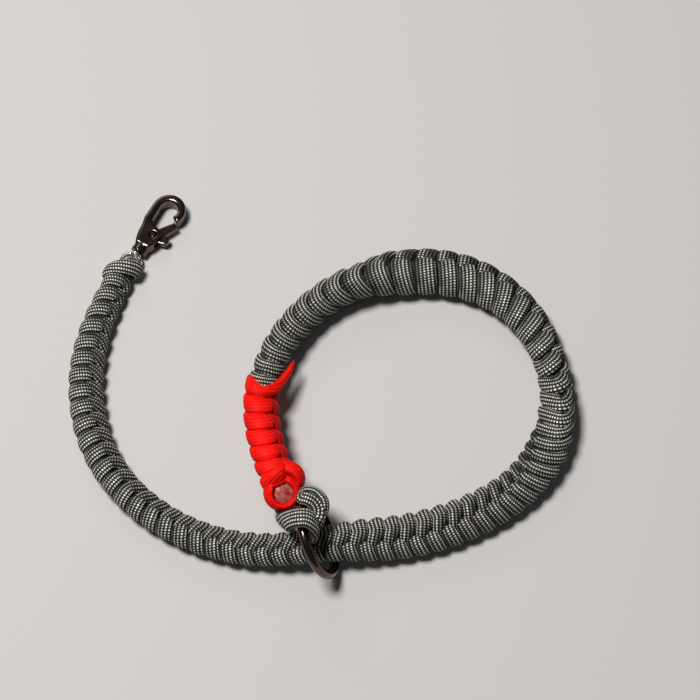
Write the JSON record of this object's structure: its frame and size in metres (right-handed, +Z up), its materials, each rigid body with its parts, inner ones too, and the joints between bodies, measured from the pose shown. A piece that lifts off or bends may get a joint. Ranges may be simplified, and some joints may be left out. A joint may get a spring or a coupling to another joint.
{
  "type": "camera wrist strap",
  "caption": "Wrist strap of snake-knotted cord whose tip is tied to a ring that slides along its own run, with a swivel lobster clasp at the other end.",
  "frame": {"origin": "under the middle of the strap's box, on the flat surface it lies on", "axes": "+Z up from that surface; +Y along the clasp's axis, from the first knot to the hook's crown; +X from the straight run towards the wrist loop"},
  "size_m": [0.1464, 0.1236, 0.0261],
  "materials": {
    "grey_cord": "braided nylon sheath, dark olive grey with rows of light grey ticks",
    "red_cord": "braided nylon sheath, plain orange red",
    "melted_cord": "nylon melted by a flame, pinkish grey and uneven",
    "gunmetal": "polished dark nickel plating with a brownish reflection",
    "steel": "bright nickel-plated wire"
  },
  "bodies": {
    "strap": {"strap_weave": "grey_cord", "red_weave": "red_cord", "red_end_curl": "red_cord", "melted_end": "melted_cord", "slider_ring": "gunmetal", "anchor_loop": "grey_cord", "start_knot": "grey_cord", "swivel_eye": "steel"},
    "hook": {"clasp_hook": "gunmetal", "lever_pin": "gunmetal"},
    "lever": {"clasp_lever": "gunmetal"}
  },
  "joints": [
    {"name": "clasp_swivel", "type": "hinge", "parent": "strap", "child": "hook", "pos_m": [-0.06806, 0.00931, 0.0025], "axis": [0, 1, 0], "continuous": true},
    {"name": "lever_hinge", "type": "hinge", "parent": "hook", "child": "lever", "pos_m": [-0.06706, 0.01611, 0.0025], "axis": [0, 0, 1], "range_deg": [0, 22], "stiffness_Nm_per_rad": 0.002, "springref_deg": -17.19}
  ]
}
